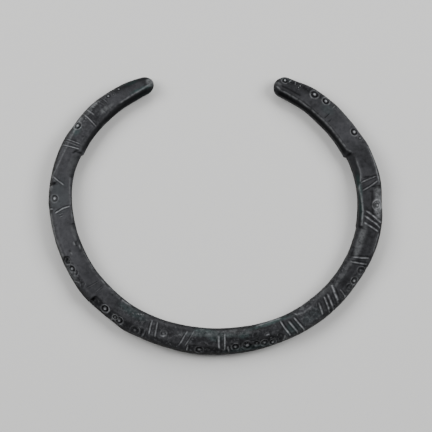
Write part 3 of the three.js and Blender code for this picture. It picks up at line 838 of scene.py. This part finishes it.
def ring_mesh(points, name):
    """Skin over the sections: every row on the front, every second row on the back, and two end caps."""
    rows, columns = points.shape[:2]
    keep = np.zeros((rows, columns), dtype=bool)
    keep[:, :FRONT_COLUMNS] = True
    keep[::2] = True
    index = np.full((rows, columns), -1)
    index[keep] = np.arange(keep.sum())
    vertices = points[keep]
    front = index[:, :FRONT_COLUMNS]
    back = index[::2, FRONT_COLUMNS:]
    faces = []
    for part in (front, back):
        quads = np.stack([part[:-1, :-1], part[:-1, 1:], part[1:, 1:], part[1:, :-1]], -1)
        faces += quads.reshape(-1, 4).tolist()
    outer, inner = front[:, -1], front[:, 0]
    near, far = back[:, 0], back[:, -1]
    for i in range(len(near) - 1):
        a, b, c = outer[2 * i:2 * i + 3]
        faces += [(a, near[i], b), (b, near[i], near[i + 1]), (b, near[i + 1], c)]
        a, b, c = inner[2 * i:2 * i + 3]
        faces += [(far[i], a, b), (far[i], b, far[i + 1]), (far[i + 1], b, c)]
    for row, turned in ((0, True), (rows - 1, False)):
        rim = index[row].tolist()
        centre = len(vertices)
        vertices = np.concatenate([vertices, points[row].mean(0)[None]])
        for a, b in zip(rim, rim[1:] + rim[:1]):
            faces.append((centre, b, a) if turned else (centre, a, b))
    mesh = bpy.data.meshes.new(name)
    mesh.from_pydata((vertices * MM).tolist(), [], [[int(v) for v in face] for face in faces])
    mesh.update()
    mesh.shade_smooth()
    return mesh, keep


def add_attribute(mesh, name, values, keep):
    layer = mesh.attributes.new(name, "FLOAT", "POINT")
    picked = np.zeros(len(mesh.vertices), dtype=np.float32)
    picked[:keep.sum()] = np.clip(values, 0, 1)[keep]
    layer.data.foreach_set("value", picked)


def fit_to_frame(mesh):
    """Sets the piece on the solid that it stands for: same middle, and nowhere past its box."""
    low, high = (np.array(corner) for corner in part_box("bracelet"))
    place = np.empty(len(mesh.vertices) * 3)
    mesh.vertices.foreach_get("co", place)
    place = place.reshape(-1, 3)
    middle = (place.min(0) + place.max(0)) / 2
    size = (high - low) / (place.max(0) - place.min(0))
    place = (place - middle) * np.minimum(size, 1.0) + (low + high) / 2
    mesh.vertices.foreach_set("co", place.ravel())
    mesh.update()


def build_bracelet():
    angles = station_angles()
    fine, broad, front_share = section_loops(angles)
    sections = pick(fine, front_share)
    points = lift(angles, sections)
    softer = lift(angles, pick(broad, front_share))
    normals = grid_normals(points)
    edge = ((points - softer) * normals).sum(-1) / EDGE_HEIGHT
    relief = Relief(angles, points, normals)
    for groove in GROOVES:
        relief.add_groove(*groove)
    # Wear with painted highlights along the arrises
    for marks, width, strength in WORN_AND_HIGHLIGHT_LINES:
        relief.paint_line(relief.wear_and_highlight, marks, width, LINE_WEAR_AND_HIGHLIGHT * strength)
    # Painted shade, with some dirt, along the bevels
    for line in SHADE_AND_DIRT_LINES:
        relief.paint_line(relief.dark, *line)
    for punch in PUNCHES:
        relief.add_punch(*punch)
    random = np.random.default_rng(SPECKLE_SEED)
    for pit in PITS + speckles(random) + knocks(random):
        relief.add_pit(*pit)
    fade = smooth_step(0, END_FADE, end_distance(angles))[:, None]
    moved = points + normals * ((relief.height + cast_waves(points)) * fade)[..., None]
    mesh, keep = ring_mesh(moved, "bracelet_bronze")
    outs = sections[..., 0]
    fields = {
        "patina": np.repeat(smooth_between(angles, PATINA)[:, None], points.shape[1], 1),
        # painted shade, with some dirt, on the steep bevels and walls
        "slope_shade_and_grime": shade_and_dirt_by_slope(normals[..., 2], outs < 0),
        "edge": edge,
        # wear, with painted highlights along the arrises
        "wear_and_highlight": relief.wear_and_highlight,
        # painted shade in the marks and at the steps, and dirt
        "dark": np.maximum(relief.dark, patch_field(points, DARK_PATCHES)),
        "rough": rough_field(angles, outs),
        "green": patch_field(points, GREEN_PATCHES),
        # pale crust with painted glints
        "pale": patch_field(points, PALE_PATCHES),
    }
    for name, values in fields.items():
        add_attribute(mesh, name, values, keep)
    fit_to_frame(mesh)
    piece = bpy.data.objects.new("bracelet_bronze", mesh)
    bpy.context.scene.collection.objects.link(piece)
    return piece


def new_material(name):
    material = bpy.data.materials.new(name)
    material.use_nodes = True
    tree = material.node_tree
    tree.nodes.clear()
    output = tree.nodes.new("ShaderNodeOutputMaterial")
    shader = tree.nodes.new("ShaderNodeBsdfPrincipled")
    tree.links.new(shader.outputs["BSDF"], output.inputs["Surface"])
    return material, tree, shader


def attribute_node(tree, name):
    node = tree.nodes.new("ShaderNodeAttribute")
    node.attribute_name = name
    return node.outputs["Fac"]


def noise_node(tree, scale, detail, shift, roughness):
    coords = tree.nodes.new("ShaderNodeTexCoord")
    moved = tree.nodes.new("ShaderNodeVectorMath")
    moved.operation = "ADD"
    moved.inputs[1].default_value = [shift * share for share in SHIFT_SHARES]
    tree.links.new(coords.outputs["Object"], moved.inputs[0])
    node = tree.nodes.new("ShaderNodeTexNoise")
    node.inputs["Scale"].default_value = scale
    node.inputs["Detail"].default_value = detail
    node.inputs["Roughness"].default_value = roughness
    tree.links.new(moved.outputs["Vector"], node.inputs["Vector"])
    return node.outputs["Fac"]


def range_node(tree, value, low, high, to_low, to_high):
    node = tree.nodes.new("ShaderNodeMapRange")
    node.interpolation_type = "SMOOTHSTEP"
    tree.links.new(value, node.inputs["Value"])
    node.inputs["From Min"].default_value = low
    node.inputs["From Max"].default_value = high
    node.inputs["To Min"].default_value = to_low
    node.inputs["To Max"].default_value = to_high
    return node.outputs["Result"]


def math_node(tree, operation, a, b):
    node = tree.nodes.new("ShaderNodeMath")
    node.operation = operation
    node.use_clamp = True
    for socket, value in zip(node.inputs, (a, b)):
        if isinstance(value, (int, float)):
            socket.default_value = value
        else:
            tree.links.new(value, socket)
    return node.outputs["Value"]


def mix_colour(tree, factor, a, b):
    node = tree.nodes.new("ShaderNodeMix")
    node.data_type = "RGBA"
    tree.links.new(factor, node.inputs["Factor"])
    for socket, value in ((node.inputs["A"], a), (node.inputs["B"], b)):
        if isinstance(value, tuple):
            socket.default_value = (*value, 1)
        else:
            tree.links.new(value, socket)
    return node.outputs["Result"]


def bronze_colour(tree, fine):
    """Dark patina with lighter wear and painted highlights, a little green in the hollows, pale crust
    with painted glints, and painted shade with some dirt on the walls and in the marks.
    """
    broad = noise_node(tree, *BROAD_NOISE)
    mottle = noise_node(tree, *MOTTLE_NOISE)
    rough = attribute_node(tree, "rough")

    tone = attribute_node(tree, "patina")
    tone = math_node(tree, "ADD", tone, range_node(tree, fine, *FINE_TONE))
    tone = math_node(tree, "ADD", tone, range_node(tree, broad, *BROAD_TONE))
    colour = mix_colour(tree, tone, DARK_PATINA, LIGHT_PATINA)

    green = range_node(tree, fine, *GREEN_GRAIN)
    green = math_node(tree, "MULTIPLY", attribute_node(tree, "green"), green)
    colour = mix_colour(tree, green, colour, GREEN_PATINA)

    # Painted shade with some dirt on the steep bevels and walls
    colour = mix_colour(tree, attribute_node(tree, "slope_shade_and_grime"), colour, SHADE_AND_GRIME_COLOUR)
    # Mottled dirt in the rough stretches, with the painted shade and dirt of the marks
    hollows = math_node(tree, "MULTIPLY", rough, range_node(tree, mottle, *ROUGH_HOLLOWS))
    shade_and_dirt = math_node(tree, "MAXIMUM", attribute_node(tree, "dark"), hollows)
    colour = mix_colour(tree, shade_and_dirt, colour, SHADE_AND_GRIME_COLOUR)

    # Pale crust, with painted glints
    pale = range_node(tree, fine, *PALE_GRAIN)
    pale = math_node(tree, "MULTIPLY", attribute_node(tree, "pale"), pale)
    colour = mix_colour(tree, pale, colour, PALE_CRUST_AND_GLINT)

    # Wear and painted highlights
    edge = range_node(tree, attribute_node(tree, "edge"), *EDGE_TIPS)
    wear_and_highlight = math_node(tree, "MAXIMUM", edge, attribute_node(tree, "wear_and_highlight"))
    wear_and_highlight = math_node(tree, "MULTIPLY", wear_and_highlight, range_node(tree, fine, *WEAR_AND_HIGHLIGHT_GRAIN))
    tips = math_node(tree, "MULTIPLY", rough, range_node(tree, mottle, *ROUGH_TIPS))
    wear_and_highlight = math_node(tree, "MAXIMUM", wear_and_highlight, tips)
    return mix_colour(tree, wear_and_highlight, colour, WORN_BRONZE_AND_HIGHLIGHT)


def bronze_material():
    material, tree, shader = new_material("old_bronze")
    fine = noise_node(tree, *FINE_NOISE)
    tree.links.new(bronze_colour(tree, fine), shader.inputs["Base Color"])
    tree.links.new(range_node(tree, fine, *ROUGHNESS_GRAIN), shader.inputs["Roughness"])
    shader.inputs["Metallic"].default_value = METALLIC
    shader.inputs["Specular IOR Level"].default_value = SPECULAR_LEVEL
    bump = tree.nodes.new("ShaderNodeBump")
    bump.inputs["Strength"].default_value = BUMP_STRENGTH
    bump.inputs["Distance"].default_value = BUMP_DISTANCE
    tree.links.new(fine, bump.inputs["Height"])
    tree.links.new(bump.outputs["Normal"], shader.inputs["Normal"])
    return material


def floor_material():
    material, _, shader = new_material("pale_floor")
    shader.inputs["Base Color"].default_value = (*FLOOR_COLOUR, 1)
    shader.inputs["Roughness"].default_value = FLOOR_ROUGHNESS
    return material


def add_floor(lowest):
    mesh = bpy.data.meshes.new("floor")
    turns = [(-1, -1), (1, -1), (1, 1), (-1, 1)]
    corners = [(x * FLOOR_REACH, y * FLOOR_REACH, 0) for x, y in turns]
    mesh.from_pydata(corners, [], [(0, 1, 2, 3)])
    floor = bpy.data.objects.new("floor", mesh)
    floor.location.z = lowest
    mesh.materials.append(floor_material())
    bpy.context.scene.collection.objects.link(floor)


def add_light(name, place, size, power):
    light = bpy.data.lights.new(name, "AREA")
    light.shape = "SQUARE"
    light.size = size
    light.energy = power
    lamp = bpy.data.objects.new(name, light)
    lamp.location = place
    lamp.rotation_euler = (-Vector(place)).to_track_quat("-Z", "Y").to_euler()
    bpy.context.scene.collection.objects.link(lamp)


def add_world(strength):
    world = bpy.data.worlds.new("studio")
    world.use_nodes = True
    background = world.node_tree.nodes["Background"]
    background.inputs["Color"].default_value = (1, 1, 1, 1)
    background.inputs["Strength"].default_value = strength
    bpy.context.scene.world = world


def add_camera():
    back = Vector((*CAMERA_TILT, math.sqrt(1 - CAMERA_TILT[0] ** 2 - CAMERA_TILT[1] ** 2)))
    up = Vector((0, 1, 0))
    up = (up - back * up.dot(back)).normalized()
    right = up.cross(back)
    place = Vector(CAMERA_AIM) * MM + back * CAMERA_DISTANCE
    camera = bpy.data.cameras.new("camera")
    camera.sensor_width = SENSOR
    camera.lens = SENSOR * CAMERA_DISTANCE / (VIEW_WIDTH * MM)
    holder = bpy.data.objects.new("camera", camera)
    holder.matrix_world = Matrix((
        (right.x, up.x, back.x, place.x),
        (right.y, up.y, back.y, place.y),
        (right.z, up.z, back.z, place.z),
        (0, 0, 0, 1),
    ))
    bpy.context.scene.collection.objects.link(holder)
    bpy.context.scene.camera = holder


add_camera()
bracelet = build_bracelet()
bracelet.data.materials.append(bronze_material())
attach(bracelet, "root")
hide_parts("bracelet")

add_floor(cad_bounds[0][2])
for light in LIGHTS:
    add_light(*light)
add_world(WORLD_STRENGTH)
